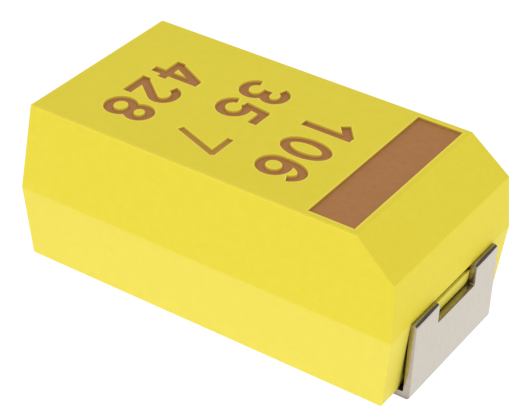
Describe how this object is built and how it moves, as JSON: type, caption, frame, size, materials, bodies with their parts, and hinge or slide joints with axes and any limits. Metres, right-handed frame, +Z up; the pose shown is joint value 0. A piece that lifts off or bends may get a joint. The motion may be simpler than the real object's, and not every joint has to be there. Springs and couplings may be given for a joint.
{
  "type": "tantalum chip capacitor",
  "caption": "Surface-mount tantalum capacitor: drafted epoxy block with a bevelled, striped positive end and a flat tinned lead folded down each end and under it.",
  "frame": {"origin": "centre of the solder plane, on which the undersides of both feet lie", "axes": "+X along the length to the anode end with the bevel and stripe, +Y across the width, +Z up from the board"},
  "size_m": [0.006, 0.0032, 0.0025],
  "materials": {
    "yellow_epoxy": "satin",
    "tinned_lead_frame": "matte",
    "sintered_tantalum": "matte",
    "tantalum_wire": "satin",
    "fluoropolymer": "matte",
    "manganese_dioxide": "matte",
    "graphite": "matte",
    "silver_paint": "matte",
    "silver_adhesive": "matte"
  },
  "bodies": {
    "root": {"epoxy_case": "yellow_epoxy", "anode_lead": "tinned_lead_frame", "cathode_lead": "tinned_lead_frame", "tantalum_pellet": "sintered_tantalum", "anode_wire": "tantalum_wire", "wire_washer": "fluoropolymer", "manganese_dioxide_layer": "manganese_dioxide", "graphite_layer": "graphite", "silver_layer": "silver_paint", "silver_adhesive": "silver_adhesive"}
  },
  "joints": []
}
